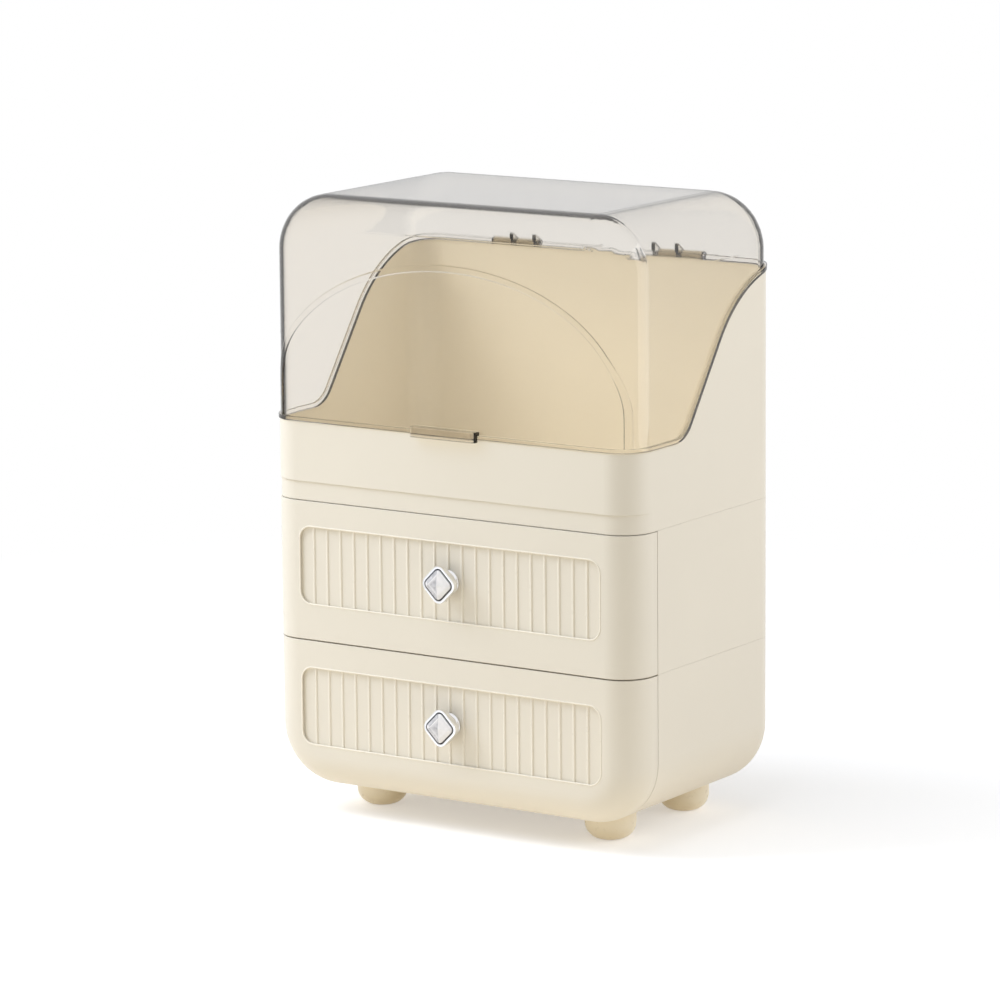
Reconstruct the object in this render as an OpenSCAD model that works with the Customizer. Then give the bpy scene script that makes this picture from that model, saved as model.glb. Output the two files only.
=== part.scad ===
// Two-drawer vanity organizer with an open top tray under a hinged clear hood.
// Millimetres. The front faces -Y, +Z is up, and the feet stand on the plane z = 0.
// Inside the modules y runs from 0 at the flat drawer faces to body_d at the back wall.

/* [Body] */
// Width across the casings, the tray and the drawer fronts
body_w = 260; // [240:1:290]
// Depth from the flat drawer faces to the outside of the back wall
body_d = 164; // [156:1:184]
// Height of the lower casing and its drawer
lower_h = 91; // [86:0.5:110]
// Height of the upper casing and its drawer
upper_h = 85.5; // [82:0.5:110]
// Height of the front wall of the tray
tray_front_h = 47.5; // [40:0.5:60]
// Height of the hood above the front wall of the tray
hood_h = 136; // [126:1:160]
// Wall thickness of the opaque mouldings
wall = 2.5; // [2:0.1:3]
// Radius of the upright corners and of the long rounded edges
edge_r = 20; // [16:0.5:22]
// Radius of the two big bottom corners seen from the front
bottom_r = 38; // [32:0.5:44]
// Gap at the seams between a drawer front and its neighbours
seam_gap = 0.4; // [0.3:0.05:0.8]

/* [Tray] */
// Distance from the back wall to where the side walls start to rise
rise_from_back = 118; // [112:1:122]
// Radius of the hollow curve at the foot of the rise
rise_low_r = 22; // [18:0.5:26]
// Steepest angle of the rise
rise_angle = 54; // [50:0.5:56]
// Length of the straight part of the rise
rise_run = 56; // [50:0.5:58]
// Radius of the crest that runs back to the rear wall
rise_top_r = 90; // [80:1:96]
// Height of the set-back band along the bottom of the tray front
band_h = 11.5; // [6:0.5:16]
// How far that band is set back
band_set = 0.8; // [0.4:0.1:1.4]

/* [Hood] */
// Thickness of the clear hood
hood_wall = 2.2; // [1.8:0.1:2.8]
// How far the hood stands in from the outside of the body
hood_inset = 1.3; // [1:0.1:1.6]
// Radius of the two big top corners of the hood
hood_r = 34; // [28:0.5:40]
// Thickness of the rim around the bottom edge of the hood
rim_t = 2.5; // [2:0.1:3]
// How far the rim stands out past the body
rim_out = 0.7; // [0.4:0.1:1.2]
// Gap between the rim and the tray wall it closes onto
rim_gap = 0.3; // [0.3:0.05:0.5]
// Half width of the raised arch on the front pane
arch_half_w = 123; // [112:1:124]
// Height of the arch above the spring line of its curve
arch_rise = 79; // [60:1:84]
// Spring line of the arch above the front wall of the tray
arch_spring = 20.5; // [15:0.5:28]
// Width of the raised line of the arch
arch_line = 3.8; // [2.5:0.1:5]
// Height of the raised line above the pane
arch_raise = 0.6; // [0.4:0.1:0.9]
// Width of the finger tab at the middle of the front rim
tab_w = 46; // [36:1:60]
// How far the finger tab stands out in front of the body
tab_out = 5; // [4:0.5:8]
// Height of the finger tab
tab_h = 6.2; // [5:0.2:8]
// How far the finger tab hangs below the rim
tab_drop = 1.5; // [0.5:0.1:2.5]

/* [Drawers] */
// Depth of the drawer fronts measured back to the upright side seam
front_depth = 26; // [23:0.5:32]
// Width of the fluted panel
panel_w = 214; // [180:1:216]
// Height of the fluted panel
panel_h = 47.8; // [40:0.2:54]
// Corner radius of the fluted panel
panel_r = 8; // [5:0.5:12]
// Depth of the fluted panel below the drawer face
panel_deep = 1.6; // [1:0.1:2.2]
// Middle of the upper panel above the bottom of its module
upper_panel_z = 46; // [42:0.5:49]
// Middle of the lower panel above the bottom of its module
lower_panel_z = 50.4; // [46:0.5:54]
// Number of flat strips across the fluted panel
flutes = 22; // [12:2:28]
// Radius of the fine rib between two strips
flute_r = 0.7; // [0.5:0.05:0.9]
// Wall thickness of the drawer boxes
box_wall = 2; // [1.6:0.1:2.4]
// Free space between the side of a box and the side wall of its casing
side_space = 8; // [7.6:0.1:9]
// How far a drawer pulls out
travel = 100; // [60:1:102]
// Running gap between the box runners and the casing rails
run_gap = 0.6; // [0.4:0.05:0.8]

/* [Knobs] */
// Width of the diamond knob from corner to corner
knob_w = 22.4; // [19:0.2:26]
// Corner radius of the diamond
knob_r = 5; // [3:0.25:6]
// Distance from the drawer face to the front edge of the knob rim
knob_out = 9.5; // [8.5:0.25:14]
// Height of the cut stone above the rim
gem_rise = 2; // [1:0.25:3]
// Radius of the round stem
stem_r = 6.2; // [5:0.1:7]

/* [Feet] */
// Height of the feet
foot_h = 17.5; // [15:0.5:24]
// Radius of the feet
foot_r = 15.5; // [13:0.5:17]
// Distance of the middle of each foot from the side of the body
foot_in = 47.5; // [46:0.5:60]
// Distance of the front feet from the drawer faces
foot_front_y = 49; // [46:0.5:60]
// Distance of the rear feet from the back wall
foot_rear_y = 32; // [30:0.5:40]

/* [Hinges] */
// Half the spacing of the two hinges
hinge_x = 50.5; // [40:0.5:60]
// Length of the tray knuckle between the two ears of a hinge
knuckle_l = 13; // [10:0.5:16]
// Length of the second tray knuckle, outside the ears
knuckle_out = 13.5; // [8:0.5:16]
// Radius of the knuckles
knuckle_r = 2.4; // [2.2:0.05:2.8]
// Radius of the hinge pins
pin_r = 1.5; // [1.2:0.05:1.6]
// Thickness of the two triangular ears beside each knuckle
ear_t = 2.4; // [2:0.1:3]
// Height of the ears above the pin
ear_rise = 7; // [5:0.25:8]

/* [Hidden] */
$fn = 64;
// Levels
z_low = foot_h;
z_mid = z_low + lower_h;
z_tray = z_mid + upper_h;
z_rim = z_tray + tray_front_h;
z_top = z_rim + hood_h;
// The hinge axis stands behind the back wall, level with the rear rim
pin_back = 4.5;
pin_y = body_d + pin_back;
pin_z_up = 1.3;
knuckle_foot = 18;
ear_root = 1;
ear_gap = 0.6;
// The origin is the middle of the whole footprint, knobs and hinges included
y_front = -(knob_out + gem_rise);
y_back = pin_y + knuckle_r;
y_shift = -(y_front + y_back) / 2;
// The rise of the tray sides: a hollow arc, a straight run and a crest arc
rise_y = body_d - rise_from_back;
arc_low = [rise_y, z_rim + rise_low_r];
along = [cos(rise_angle), sin(rise_angle)];
across = [-sin(rise_angle), cos(rise_angle)];
crest = arc_low - rise_low_r * across + rise_run * along - rise_top_r * across;
z_crest = crest[1] + rise_top_r;
pin_z = z_crest + pin_z_up;
// Fits
screw_r = 1.5;
screw_fit = 0.05;
pin_fit = 0.06;
head_r = 2.7;
head_h = 1.6;
// Inside of the casings
in_w = body_w - 2 * wall;
in_r = edge_r - wall;
casing_y = front_depth + seam_gap;
back_in = body_d - wall;
// Rails: the channel between a lower and an upper rail holds the runner of the box
rail_out = 6;
rail_t = 2.5;
rail_y = casing_y + 0.5;
rail_l = body_d - edge_r - rail_y;
channel = 9;
post_l = 19;
rail_down = post_l + 2 * rail_t + channel;
stop_y = front_depth + 6;
stop_t = 4;
stop_h = 5;
// Drawer boxes
box_w = in_w - 2 * side_space;
box_front = 12;
box_behind = 3.5;
box_back = back_in - box_behind;
box_d = box_back - box_front;
box_gap = 0.4;
box_r = 8;
upper_box_big = 9;
runner_t = 2;
runner_w = side_space - 1;
runner_l = body_d - edge_r - box_front - box_r;
catch_y = stop_y + stop_t + travel + run_gap;
catch_t = 6;
rib_x = 60;
rib_t = 2;
rib_h = 2.5;
rib_short = 6;
box_up = wall + rib_h + box_gap;
// Posts for the screws that hold each module to the one above
post_r = 3.5;
post_x = in_w / 2 - 3;
post_front = 45;
post_rear = body_d - edge_r + 1;
lip_t = 1.5;
lip_h = 3;
lip_gap = 0.2;
lip_y = 12;
post_bite = 10;
// Fixings of the drawer fronts
boss_r = 4;
boss_x = 80;
boss_bore = 6;
panel_back = 2.5;
panel_frame = 2;
boss_from = panel_deep + panel_back;
// Knob
knob_s = (knob_w - 2 * knob_r) / sqrt(2) + 2 * knob_r;
knob_t = 4.2;
knob_lip = 1.3;
gem_seat = 1.6;
base_t = 1.2;
base_r = stem_r + 1.3;
knob_screw_r = 2;
knob_bite = 5;
knob_bore = 6.5;
knob_head_r = 3.6;
knob_head_h = 2;
girdle = 0.2;
stone_fit = 0.05;
// Feet
foot_x = body_w / 2 - foot_in;
foot_soft = 10;
foot_bore = 9;
foot_pad_in = 1;
pin_head_r = pin_r + 0.8;
pin_head_h = 1.2;
tab_r = 2.5;
// Hood
hood_w = body_w - 2 * hood_inset;
hood_d = body_d - 2 * hood_inset;
hood_edge = edge_r - hood_inset;
rim_w = body_w + 2 * rim_out;
rim_d = body_d + 2 * rim_out;
rim_edge = edge_r + rim_out;
arch_steps = 60;
// Longer than anything it has to reach past in the side profile
far = 200;

// Rounded rectangle, centred on x, with y from 0 to d
module round_rect(w, d, r) {
  translate([0, d / 2]) {
    square([w - 2 * r, d], center = true);
    square([w, d - 2 * r], center = true);
    for (sx = [-1, 1])
      for (sy = [-1, 1])
        translate([sx * (w / 2 - r), sy * (d / 2 - r)])
          circle(r);
  }
}

// Half section used under the big corners: reach outwards on x, depth on y
module edge_section(reach, d, r) {
  intersection() {
    union() {
      square([reach - r, d]);
      translate([0, r])
        square([reach, d - 2 * r]);
      translate([reach - r, r])
        circle(r);
      translate([reach - r, d - r])
        circle(r);
    }
    square([reach, d]);
  }
}

// Trough with every outer edge rounded by r and the two bottom side corners by big
module basin(w, d, h, r, big) {
  xc = w / 2 - big;
  translate([0, 0, big])
    linear_extrude(h - big)
      round_rect(w, d, r);
  translate([-xc, 0, big])
    rotate([0, 90, 0])
      linear_extrude(2 * xc)
        edge_section(big, d, r);
  translate([xc, 0, big])
    rotate([-90, 0, 0])
      rotate_extrude(angle = 90)
        edge_section(big, d, r);
  translate([-xc, 0, big])
    rotate([-90, 0, 0])
      rotate([0, 0, 90])
        rotate_extrude(angle = 90)
          edge_section(big, d, r);
}

// Side profile drawn in y and z, extruded across the whole width
module across_width(w) {
  translate([-w / 2, 0, 0])
    rotate([90, 0, 90])
      linear_extrude(w)
        children();
}

// Front view drawn in x and z, extruded from y = 0 to depth
module from_front(depth) {
  translate([0, depth, 0])
    rotate([90, 0, 0])
      linear_extrude(depth)
        children();
}

// Everything below the rise of the tray sides, moved outwards by off
module below_rise(off) {
  p1 = arc_low - (rise_low_r - off) * across;
  p2 = crest + (rise_top_r + off) * across;
  translate([-far, 0])
    square([rise_y + far, z_rim + off]);
  difference() {
    polygon([[rise_y, 0], [rise_y, z_rim + off], p1, [p1[0], 0]]);
    translate(arc_low)
      circle(rise_low_r - off, $fn = 96);
  }
  polygon([[p1[0], 0], p1, p2, [p2[0], 0]]);
  translate([p2[0], 0])
    square([2 * far, crest[1]]);
  intersection() {
    translate(crest)
      circle(rise_top_r + off, $fn = 192);
    translate([p2[0], crest[1] - 1])
      square([2 * far, 2 * rise_top_r]);
  }
  translate([crest[0], 0])
    square([far, z_crest + off]);
}

// Closed outside of the lower module
module lower_outside() {
  basin(body_w, body_d, lower_h, edge_r, bottom_r);
}

// Hollow of the lower module, open at the top
module lower_inside() {
  translate([0, wall, wall])
    basin(in_w, body_d - 2 * wall, lower_h, in_r, bottom_r - wall);
}

// Place on a side wall for a bar rail_out deep that is rooted 1 into the wall
module on_side_wall(s, y, z) {
  translate([s * (in_w / 2 - rail_out / 2 + 0.5) - rail_out / 2 - 0.5, y, z])
    children();
}

// Screw posts, rails and stops on the side walls of a casing of height h
module casing_fittings(h) {
  z_up = h - post_l;
  for (s = [-1, 1]) {
    for (y = [post_front, post_rear])
      translate([s * post_x, y, z_up - rail_t / 2])
        difference() {
          cylinder(r = post_r, h = post_l + rail_t / 2);
          translate([0, 0, rail_t])
            cylinder(r = screw_r + screw_fit, h = post_l);
        }
    on_side_wall(s, rail_y, z_up - rail_t)
      cube([rail_out + 1, rail_l, rail_t]);
    on_side_wall(s, rail_y, h - rail_down)
      cube([rail_out + 1, rail_l, rail_t]);
    on_side_wall(s, stop_y, h - rail_down + 1)
      cube([rail_out + 1, stop_t, rail_t + stop_h - 1]);
  }
}

// Two ribs on a casing floor that carry the drawer box
module floor_ribs() {
  for (s = [-1, 1])
    translate([s * rib_x - rib_t / 2, rail_y, wall - 0.5])
      cube([rib_t, back_in - casing_y - rib_short, rib_h + 0.5]);
}

// Locating lips under a module that stands on the one below
module under_lips() {
  for (s = [-1, 1])
    translate([s * (in_w / 2 - lip_gap - lip_t / 2) - lip_t / 2, post_front + lip_y, -lip_h])
      cube([lip_t, post_rear - post_front - 2 * lip_y, lip_h + 1]);
}

// Clearance holes in a module floor for the screws into the posts below
module post_holes() {
  for (s = [-1, 1])
    for (y = [post_front, post_rear])
      translate([s * post_x, y, -1])
        cylinder(r = screw_r + screw_fit, h = wall + 2);
}

module behind_fronts(h) {
  translate([-body_w, casing_y, -lip_h - 1])
    cube([2 * body_w, body_d, h + lip_h + 2]);
}

module lower_casing() {
  color("ivory")
    translate([0, y_shift, z_low])
      difference() {
        intersection() {
          union() {
            difference() {
              lower_outside();
              lower_inside();
            }
            casing_fittings(lower_h);
            floor_ribs();
            for (s = [-1, 1])
              for (y = [foot_front_y, body_d - foot_rear_y])
                translate([s * foot_x, y, 0])
                  cylinder(r = foot_r - foot_pad_in, h = wall);
          }
          behind_fronts(lower_h);
        }
        for (s = [-1, 1])
          for (y = [foot_front_y, body_d - foot_rear_y])
            translate([s * foot_x, y, -1])
              cylinder(r = screw_r + screw_fit, h = wall + 2);
      }
}

module upper_casing() {
  color("ivory")
    translate([0, y_shift, z_mid])
      difference() {
        intersection() {
          union() {
            difference() {
              linear_extrude(upper_h)
                round_rect(body_w, body_d, edge_r);
              translate([0, wall, wall])
                linear_extrude(upper_h)
                  round_rect(in_w, body_d - 2 * wall, in_r);
            }
            casing_fittings(upper_h);
            floor_ribs();
            under_lips();
          }
          behind_fronts(upper_h);
        }
        post_holes();
      }
}

// Knuckle of length l with its bracket on the back of the tray, from x = 0 on
module tray_knuckle(l) {
  rotate([90, 0, 90])
    linear_extrude(l)
      difference() {
        union() {
          translate([pin_y, pin_z])
            circle(knuckle_r, $fn = 48);
          polygon([[body_d - 0.5, z_crest - knuckle_foot], [pin_y + knuckle_r, pin_z - 5],
            [pin_y + knuckle_r, pin_z], [pin_y, pin_z], [body_d + 0.2, z_crest - 2.5],
            [body_d - 0.5, z_crest - 2.5]]);
        }
        translate([pin_y, pin_z])
          circle(pin_r + pin_fit, $fn = 48);
      }
}

// The two knuckles of one hinge: between the ears and outside them
module hinge_knuckles() {
  translate([-knuckle_l / 2, 0, 0])
    tray_knuckle(knuckle_l);
  translate([knuckle_l / 2 + 2 * ear_gap + ear_t, 0, 0])
    tray_knuckle(knuckle_out);
}

module top_tray() {
  color("ivory")
    translate([0, y_shift, 0]) {
      difference() {
        union() {
          intersection() {
            difference() {
              translate([0, 0, z_tray])
                linear_extrude(z_crest - z_tray + 1)
                  round_rect(body_w, body_d, edge_r);
              translate([0, wall, z_tray + wall])
                linear_extrude(z_crest)
                  round_rect(in_w, body_d - 2 * wall, in_r);
            }
            across_width(body_w + 2)
              below_rise(0);
            union() {
              translate([0, band_set, z_tray - 1])
                linear_extrude(z_crest)
                  round_rect(body_w, body_d, edge_r);
              translate([-body_w, -1, z_tray + band_h])
                cube([2 * body_w, body_d, z_crest]);
            }
          }
          translate([0, 0, z_tray])
            under_lips();
        }
        translate([0, 0, z_tray])
          post_holes();
      }
      for (m = [0, 1])
        mirror([m, 0, 0])
          translate([hinge_x, 0, 0])
            hinge_knuckles();
    }
}

// Outside of the hood grown by g, open at the bottom
module hood_form(g) {
  translate([0, hood_inset - g, z_top + g])
    mirror([0, 0, 1])
      basin(hood_w + 2 * g, hood_d + 2 * g, z_top - z_tray, hood_edge + g, hood_r + g);
}

// Band of thickness t that rests just above the tray rise
module rise_band(t) {
  across_width(body_w + 20)
    difference() {
      below_rise(rim_gap + t);
      below_rise(rim_gap);
    }
}

// Outline of the arch as seen from the front, moved outwards by off
module arch_outline(off) {
  z0 = z_rim + arch_spring;
  a = arch_half_w + off;
  b = arch_rise + off;
  polygon(concat([[a, z_tray], [a, z0]],
    [for (i = [1 : arch_steps - 1])
      [a * cos(180 * i / arch_steps), z0 + b * sin(180 * i / arch_steps)]],
    [[-a, z0], [-a, z_tray]]));
}

// Triangular ear on the back of the hood, its root ear_root deep in the wall
module hinge_ear() {
  ear_y = body_d - hood_inset - ear_root;
  ear_low = z_crest + rim_gap + 0.2;
  translate([-ear_t / 2, 0, 0])
    rotate([90, 0, 90])
      linear_extrude(ear_t)
        difference() {
          union() {
            translate([pin_y, pin_z])
              circle(knuckle_r, $fn = 48);
            polygon([[ear_y, ear_low], [body_d + rim_out, ear_low],
              [pin_y, pin_z] - knuckle_r * [cos(45), sin(45)],
              [pin_y, pin_z] + knuckle_r * [cos(45), sin(45)],
              [ear_y + ear_root + 0.8, pin_z + ear_rise], [ear_y, pin_z + ear_rise]]);
          }
          translate([pin_y, pin_z])
            circle(pin_r + screw_fit, $fn = 48);
        }
}

module clear_hood() {
  ear_x = knuckle_l / 2 + ear_gap + ear_t / 2;
  color([0.92, 0.9, 0.86, 0.35])
    translate([0, y_shift, 0]) {
      difference() {
        union() {
          difference() {
            hood_form(0);
            across_width(body_w + 20)
              below_rise(rim_gap);
          }
          intersection() {
            translate([0, -rim_out, z_tray])
              linear_extrude(z_crest)
                round_rect(rim_w, rim_d, rim_edge);
            rise_band(rim_t);
          }
          intersection() {
            hood_form(arch_raise);
            from_front(edge_r + 2)
              difference() {
                arch_outline(arch_line / 2);
                arch_outline(-arch_line / 2);
              }
            translate([-body_w, -1, z_rim + rim_gap + 1])
              cube([2 * body_w, body_d, hood_h]);
          }
          translate([0, 0, z_rim + rim_gap])
            finger_tab();
        }
        hood_form(-hood_wall);
      }
      for (s = [-1, 1])
        for (e = [-1, 1])
          translate([s * hinge_x + e * ear_x, 0, 0])
            hinge_ear();
    }
}

// Rounded bar in front of the rim, hanging a little below it
module finger_tab() {
  root = hood_inset + 1;
  linear_extrude(tab_h - tab_drop)
    tab_plan(root);
  translate([0, 0, -tab_drop])
    linear_extrude(tab_h)
      difference() {
        tab_plan(root);
        translate([-tab_w, -rim_out])
          square([2 * tab_w, root + 2]);
      }
}

module tab_plan(root) {
  translate([0, -tab_out]) {
    translate([-tab_w / 2 + tab_r, 0])
      square([tab_w - 2 * tab_r, tab_out + root]);
    translate([-tab_w / 2, tab_r])
      square([tab_w, tab_out + root - tab_r]);
    for (s = [-1, 1])
      translate([s * (tab_w / 2 - tab_r), tab_r])
        circle(tab_r);
  }
}

// Pin with a flat head outside the outer knuckle, placed for one hinge, s = side
module hinge_pin(s) {
  inner = knuckle_l / 2 + ear_gap + ear_t;
  outer = inner + knuckle_out + 2 * ear_gap;
  color("silver")
    translate([s * hinge_x, pin_y + y_shift, pin_z])
      rotate([0, s * 90, 0]) {
        translate([0, 0, -inner])
          cylinder(r = pin_r, h = inner + outer);
        translate([0, 0, outer])
          cylinder(r = pin_head_r, h = pin_head_h);
      }
}

module hinge_pin_left() {
  hinge_pin(-1);
}

module hinge_pin_right() {
  hinge_pin(1);
}

// Recess with its ribs left standing, cut into a drawer face
module panel_recess(zc) {
  pitch = panel_w / flutes;
  difference() {
    translate([0, -1, zc])
      rotate([-90, 0, 0])
        linear_extrude(panel_deep + 1)
          translate([0, -panel_h / 2])
            round_rect(panel_w, panel_h, panel_r);
    difference() {
      for (i = [1 : flutes - 1])
        translate([i * pitch - panel_w / 2, panel_deep, zc - panel_h / 2 - 1])
          cylinder(r = flute_r, h = panel_h + 2, $fn = 24);
      translate([0, -1, zc])
        rotate([-90, 0, 0])
          cylinder(r = base_r + 0.3, h = panel_deep + 1);
    }
  }
}

// Bosses on the back of a drawer front, the panel backing and the screw bores
module front_backing(zc) {
  translate([0, 1, zc])
    rotate([-90, 0, 0])
      linear_extrude(boss_from - 1)
        translate([0, -panel_h / 2 - panel_frame])
          round_rect(panel_w + 2 * panel_frame, panel_h + 2 * panel_frame, panel_r + panel_frame);
  for (s = [-1, 1])
    translate([s * boss_x, boss_from - 0.5, zc])
      rotate([-90, 0, 0])
        cylinder(r = boss_r, h = box_front - boss_from + 0.5);
}

module front_bores(zc) {
  for (s = [-1, 1])
    translate([s * boss_x, box_front - boss_bore, zc])
      rotate([-90, 0, 0])
        cylinder(r = screw_r + screw_fit, h = boss_bore + 1);
  translate([0, -5, zc])
    rotate([-90, 0, 0])
      cylinder(r = knob_screw_r + screw_fit, h = box_front);
}

module lower_drawer_front() {
  zc = lower_panel_z;
  color("ivory")
    translate([0, y_shift, z_low])
      difference() {
        union() {
          intersection() {
            difference() {
              basin(body_w, body_d, lower_h - seam_gap, edge_r, bottom_r);
              translate([0, wall, wall])
                basin(in_w, body_d - 2 * wall, lower_h - seam_gap - 2 * wall,
                  in_r, bottom_r - wall);
            }
            translate([-body_w, -1, -1])
              cube([2 * body_w, front_depth + 1, lower_h + 2]);
          }
          front_backing(zc);
        }
        panel_recess(zc);
        front_bores(zc);
      }
}

module upper_drawer_front() {
  zc = upper_panel_z;
  color("ivory")
    translate([0, y_shift, z_mid])
      difference() {
        union() {
          intersection() {
            difference() {
              translate([0, 0, seam_gap])
                linear_extrude(upper_h - 2 * seam_gap)
                  round_rect(body_w, body_d, edge_r);
              translate([0, wall, seam_gap + wall])
                linear_extrude(upper_h - 2 * seam_gap - 2 * wall)
                  round_rect(in_w, body_d - 2 * wall, in_r);
            }
            translate([-body_w, -1, -1])
              cube([2 * body_w, front_depth + 1, upper_h + 2]);
          }
          front_backing(zc);
        }
        panel_recess(zc);
        front_bores(zc);
      }
}

// Drawer box for a module of height h, with runners, catches and screw holes
module drawer_box(h, zc, r, big) {
  z_runner = h - post_l - rail_t - run_gap;
  box_h = z_runner - box_up;
  difference() {
    union() {
      translate([0, box_front, box_up])
        difference() {
          basin(box_w, box_d, box_h, r, big);
          translate([0, box_wall, box_wall])
            basin(box_w - 2 * box_wall, box_d - 2 * box_wall, box_h,
              r - box_wall, big - box_wall);
        }
      for (s = [-1, 1]) {
        translate([s * (box_w + runner_w - 1) / 2 - runner_w / 2 - 0.5, box_front + r,
            z_runner - runner_t])
          cube([runner_w + 1, runner_l, runner_t]);
        translate([s * (box_w + runner_w - 1) / 2 - runner_w / 2 - 0.5, catch_y,
            z_runner - channel + 2 * run_gap])
          cube([runner_w + 1, catch_t, channel - 2 * run_gap - 0.5]);
      }
    }
    for (s = [-1, 1])
      translate([s * boss_x, box_front - 1, zc])
        rotate([-90, 0, 0])
          cylinder(r = screw_r + screw_fit, h = box_wall + 2);
  }
}

module lower_drawer_box() {
  color("white")
    translate([0, y_shift, z_low])
      drawer_box(lower_h, lower_panel_z, box_r, bottom_r - wall - side_space);
}

module upper_drawer_box() {
  color("white")
    translate([0, y_shift, z_mid])
      drawer_box(upper_h, upper_panel_z, box_r, upper_box_big);
}

// Pan-head screw pointing down, its head standing on z = 0
module pan_screw(l) {
  translate([0, 0, -l])
    cylinder(r = screw_r, h = l + head_h / 2);
  cylinder(r = head_r, h = head_h);
}

module front_screws(zc) {
  for (s = [-1, 1])
    translate([s * boss_x, box_front + box_wall, zc])
      rotate([-90, 0, 0])
        pan_screw(box_wall + boss_bore - 1);
}

module lower_drawer_screws() {
  color("silver")
    translate([0, y_shift, z_low])
      front_screws(lower_panel_z);
}

module upper_drawer_screws() {
  color("silver")
    translate([0, y_shift, z_mid])
      front_screws(upper_panel_z);
}

// Diamond outline of the knob, moved inwards by off
module diamond(off) {
  rotate(45)
    translate([0, -knob_s / 2 + off])
      round_rect(knob_s - 2 * off, knob_s - 2 * off, knob_r - off);
}

// Knob parts are drawn along +z out of the drawer face and stood up by this
module on_face(zc) {
  translate([0, 0, zc])
    rotate([90, 0, 0])
      children();
}

module knob_rim() {
  difference() {
    union() {
      translate([0, 0, -panel_deep])
        cylinder(r = base_r, h = base_t);
      translate([0, 0, -panel_deep])
        cylinder(r = stem_r, h = knob_out - knob_t + panel_deep + 0.5);
      translate([0, 0, knob_out - knob_t])
        linear_extrude(knob_t)
          diamond(0);
    }
    translate([0, 0, knob_out - gem_seat])
      linear_extrude(gem_seat + 1)
        diamond(knob_lip);
    translate([0, 0, -panel_deep - 1])
      cylinder(r = knob_screw_r + screw_fit, h = knob_bore);
  }
}

// Cut stone: a low girdle, a four-sided crown and its softened corners
module knob_stone() {
  g = knob_w / 2 - knob_lip;
  translate([0, 0, knob_out - gem_seat])
    intersection() {
      linear_extrude(gem_seat + gem_rise)
        diamond(knob_lip + stone_fit);
      union() {
        cylinder(r = g + 2, h = gem_seat + girdle, $fn = 4);
        translate([0, 0, gem_seat + girdle])
          cylinder(r1 = g + 0.8, r2 = 0.6, h = gem_rise - girdle, $fn = 4);
      }
    }
}

module knob_screw() {
  translate([0, 0, -boss_from])
    cylinder(r = knob_screw_r, h = panel_back + knob_bite);
  translate([0, 0, -boss_from - knob_head_h])
    cylinder(r = knob_head_r, h = knob_head_h);
}

module lower_knob_rim() {
  color("gainsboro")
    translate([0, y_shift, z_low])
      on_face(lower_panel_z)
        knob_rim();
}

module lower_knob_stone() {
  color("white")
    translate([0, y_shift, z_low])
      on_face(lower_panel_z)
        knob_stone();
}

module lower_knob_screw() {
  color("silver")
    translate([0, y_shift, z_low])
      on_face(lower_panel_z)
        knob_screw();
}

module upper_knob_rim() {
  color("gainsboro")
    translate([0, y_shift, z_mid])
      on_face(upper_panel_z)
        knob_rim();
}

module upper_knob_stone() {
  color("white")
    translate([0, y_shift, z_mid])
      on_face(upper_panel_z)
        knob_stone();
}

module upper_knob_screw() {
  color("silver")
    translate([0, y_shift, z_mid])
      on_face(upper_panel_z)
        knob_screw();
}

// Round foot with a soft lower edge, a flat pad and a blind screw bore
module foot(x, y) {
  color("ivory")
    translate([x, y + y_shift, 0])
      difference() {
        rotate_extrude()
          union() {
            translate([0, foot_soft])
              square([foot_r, foot_h - foot_soft]);
            square([foot_r - foot_soft, foot_h]);
            intersection() {
              translate([foot_r - foot_soft, foot_soft])
                circle(foot_soft);
              square([foot_r, foot_h]);
            }
          }
        translate([0, 0, foot_h - foot_bore])
          cylinder(r = screw_r + screw_fit, h = foot_bore + 1);
      }
}

module foot_front_left() {
  foot(-foot_x, foot_front_y);
}

module foot_front_right() {
  foot(foot_x, foot_front_y);
}

module foot_rear_left() {
  foot(-foot_x, body_d - foot_rear_y);
}

module foot_rear_right() {
  foot(foot_x, body_d - foot_rear_y);
}

module foot_screws() {
  color("silver")
    for (s = [-1, 1])
      for (y = [foot_front_y, body_d - foot_rear_y])
        translate([s * foot_x, y + y_shift, z_low + wall])
          pan_screw(wall + foot_bore - 1);
}

// Screws through a module floor into the four posts below it
module post_screws(z) {
  color("silver")
    for (s = [-1, 1])
      for (y = [post_front, post_rear])
        translate([s * post_x, y + y_shift, z + wall])
          pan_screw(wall + post_bite);
}

module upper_casing_screws() {
  post_screws(z_mid);
}

module tray_screws() {
  post_screws(z_tray);
}

lower_casing();
upper_casing();
top_tray();
clear_hood();
hinge_pin_left();
hinge_pin_right();
lower_drawer_front();
lower_drawer_box();
lower_drawer_screws();
lower_knob_rim();
lower_knob_stone();
lower_knob_screw();
upper_drawer_front();
upper_drawer_box();
upper_drawer_screws();
upper_knob_rim();
upper_knob_stone();
upper_knob_screw();
foot_front_left();
foot_front_right();
foot_rear_left();
foot_rear_right();
foot_screws();
upper_casing_screws();
tray_screws();
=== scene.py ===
"""Looks of a two-drawer vanity organizer with a clear hinged hood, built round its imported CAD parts."""

import math

import bpy
from bpy.props import FloatProperty, FloatVectorProperty, IntProperty, PointerProperty
from mathutils import Euler, Matrix, Vector


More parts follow.
